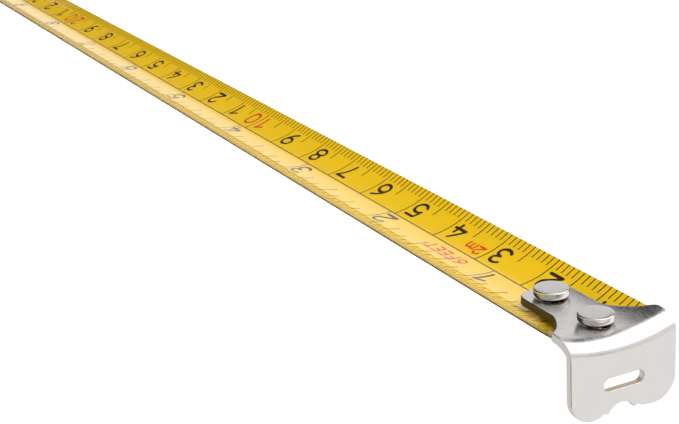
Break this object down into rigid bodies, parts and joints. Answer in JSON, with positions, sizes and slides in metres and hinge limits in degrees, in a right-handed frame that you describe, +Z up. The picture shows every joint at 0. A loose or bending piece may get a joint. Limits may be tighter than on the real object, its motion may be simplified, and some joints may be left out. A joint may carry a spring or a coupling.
{
  "type": "pocket tape measure",
  "caption": "Pocket tape measure with its curved steel blade drawn out and locked, a riveted end hook, a spring reel in a two-shell case and a thumb lock.",
  "frame": {"origin": "on the flat base, midway between the two sides and under the axis of the reel", "axes": "+X along the drawn-out blade towards its hook, +Y to the left (the centimetre edge), +Z up"},
  "size_m": [0.3416, 0.0208, 0.0477],
  "materials": {
    "case_shell": "fine spark-textured ABS",
    "grip_rubber": "soft matt",
    "badge": "turned, blank",
    "blade_yellow": "satin lacquer",
    "bright_nickel": "bright nickel plate",
    "spring_steel": "blued strip",
    "screw_steel": "zinc plated",
    "reel_nylon": "natural moulding",
    "lock_red": "moulded",
    "slider_nylon": "moulded",
    "guide_acetal": "moulded"
  },
  "bodies": {
    "case": {"case_left": "case_shell", "case_right": "case_shell", "case_screws": "screw_steel", "centre_screw": "screw_steel", "grip_band": "grip_rubber", "grip_left": "grip_rubber", "grip_right": "grip_rubber", "badge_left": "badge", "badge_right": "badge", "mouth_guide": "guide_acetal", "hook_bumper": "grip_rubber", "centre_post": "screw_steel", "reel_washer_left": "reel_nylon", "reel_washer_right": "reel_nylon"},
    "spool": {"reel": "reel_nylon", "reel_cover": "reel_nylon", "blade_coil": "blade_yellow", "power_spring": "spring_steel"},
    "strip": {"blade": "blade_yellow", "hook_rivet_front": "bright_nickel", "hook_rivet_rear": "bright_nickel"},
    "end_hook": {"hook": "bright_nickel"},
    "lock": {"lock_button": "lock_red", "lock_arm": "slider_nylon", "brake_pad_left": "grip_rubber", "brake_pad_right": "grip_rubber"}
  },
  "joints": [
    {"name": "blade_extension", "type": "slide", "parent": "case", "child": "strip", "axis": [1, 0, 0], "range_m": [-0.2885, 0], "deforming": ["blade"]},
    {"name": "spool_spin", "type": "hinge", "parent": "case", "child": "spool", "pos_m": [0, 0, 0.025], "axis": [0, -1, 0], "range_deg": [-1034, 0], "deforming": ["power_spring"]},
    {"name": "hook_float", "type": "slide", "parent": "strip", "child": "end_hook", "axis": [1, 0, 0], "range_m": [-0.0009, 0]},
    {"name": "lock_slide", "type": "slide", "parent": "case", "child": "lock", "axis": [-0.3703, 0, 0.9289], "range_m": [0, 0.005]}
  ],
  "couplings": [
    {"joint": "spool_spin", "follows": "blade_extension", "rad_per_m": 62.5}
  ]
}
